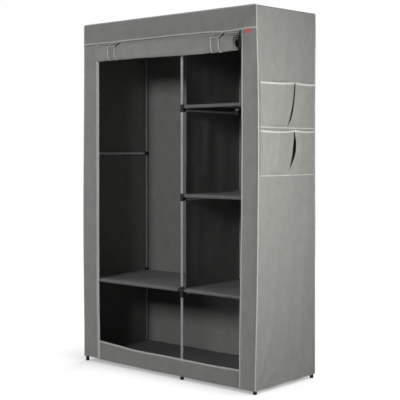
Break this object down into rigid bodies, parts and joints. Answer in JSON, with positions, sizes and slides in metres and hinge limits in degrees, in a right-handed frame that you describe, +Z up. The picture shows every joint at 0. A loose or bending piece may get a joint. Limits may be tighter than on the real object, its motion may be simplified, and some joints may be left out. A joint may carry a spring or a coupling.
{
  "type": "portable fabric wardrobe",
  "caption": "Free-standing tube-frame wardrobe with a sewn fabric cover, roll-up zip door, hanging rail, fabric shelves and side pockets.",
  "frame": {"origin": "on the floor under the centre of the whole outline", "axes": "+X to the right seen from the front, +Y from the front to the back, +Z up"},
  "size_m": [1.134, 0.4942, 1.7],
  "materials": {
    "frame_tube": "smooth grey powder coat on thin steel tube",
    "connector_plastic": "moulded black polypropylene, fine spark texture",
    "cover_fabric": "matt spun-bonded non-woven polypropylene, dot embossed",
    "pocket_fabric": "matt spun-bonded non-woven polypropylene, dot embossed",
    "inner_fabric": "matt spun-bonded non-woven polypropylene, dot embossed",
    "strap_fabric": "matt non-woven strap with bound and stitched edges",
    "zip_metal": "grey lacquered die-cast zip slider"
  },
  "bodies": {
    "root": {"base_frame": "frame_tube", "column_divider": "inner_fabric", "cover_back": "cover_fabric", "cover_side_left": "cover_fabric", "cover_side_right": "cover_fabric", "cover_top": "cover_fabric", "door_sheet": "cover_fabric", "floor_panel": "inner_fabric", "front_panel": "cover_fabric", "hanging_rail": "frame_tube", "lower_connector_front_center": "connector_plastic", "lower_connector_front_left": "connector_plastic", "lower_connector_front_right": "connector_plastic", "lower_connector_rear_center": "connector_plastic", "lower_connector_rear_left": "connector_plastic", "lower_connector_rear_right": "connector_plastic", "lower_depth_tube_center": "frame_tube", "lower_depth_tube_left": "frame_tube", "lower_depth_tube_right": "frame_tube", "lower_tube_front_left": "frame_tube", "lower_tube_front_right": "frame_tube", "lower_tube_rear_left": "frame_tube", "lower_tube_rear_right": "frame_tube", "middle_connector_front_center": "connector_plastic", "middle_connector_front_right": "connector_plastic", "middle_connector_rear_center": "connector_plastic", "middle_connector_rear_right": "connector_plastic", "middle_depth_tube_center": "frame_tube", "middle_depth_tube_right": "frame_tube", "middle_tube_front_right": "frame_tube", "middle_tube_rear_right": "frame_tube", "pocket_row_lower": "pocket_fabric", "pocket_row_upper": "pocket_fabric", "shelf_lower_left": "inner_fabric", "shelf_lower_right": "inner_fabric", "shelf_middle": "inner_fabric", "shelf_upper": "inner_fabric", "side_connector_front_left": "connector_plastic", "side_connector_rear_left": "connector_plastic", "side_depth_tube_left": "frame_tube", "top_frame": "frame_tube", "upper_connector_front_center": "connector_plastic", "upper_connector_front_right": "connector_plastic", "upper_connector_rear_center": "connector_plastic", "upper_connector_rear_right": "connector_plastic", "upper_depth_tube_center": "frame_tube", "upper_depth_tube_right": "frame_tube", "upper_tube_front_right": "frame_tube", "upper_tube_rear_right": "frame_tube", "upright_front_center": "frame_tube", "upright_front_left": "frame_tube", "upright_front_right": "frame_tube", "upright_rear_center": "frame_tube", "upright_rear_left": "frame_tube", "upright_rear_right": "frame_tube"},
    "door": {"door_roll": "cover_fabric"},
    "strap_left": {"door_strap_left": "strap_fabric"},
    "strap_right": {"door_strap_right": "strap_fabric"},
    "slider_left": {"zip_slider_left": "zip_metal"},
    "slider_right": {"zip_slider_right": "zip_metal"}
  },
  "joints": [
    {"name": "door_drop", "type": "slide", "parent": "root", "child": "door", "axis": [0, 0, -1], "range_m": [0, 1.46], "deforming": ["door_sheet", "door_strap_left", "door_strap_right"]},
    {"name": "strap_left_lift", "type": "hinge", "parent": "root", "child": "strap_left", "pos_m": [-0.33001, -0.21126, 1.598], "axis": [-1, 0, 0], "range_deg": [0, 110]},
    {"name": "strap_right_lift", "type": "hinge", "parent": "root", "child": "strap_right", "pos_m": [0.33799, -0.21126, 1.598], "axis": [-1, 0, 0], "range_deg": [0, 110]},
    {"name": "zip_left_slide", "type": "slide", "parent": "root", "child": "slider_left", "axis": [0, 0, -1], "range_m": [0, 1.51]},
    {"name": "zip_right_slide", "type": "slide", "parent": "root", "child": "slider_right", "axis": [0, 0, -1], "range_m": [0, 1.51]}
  ]
}
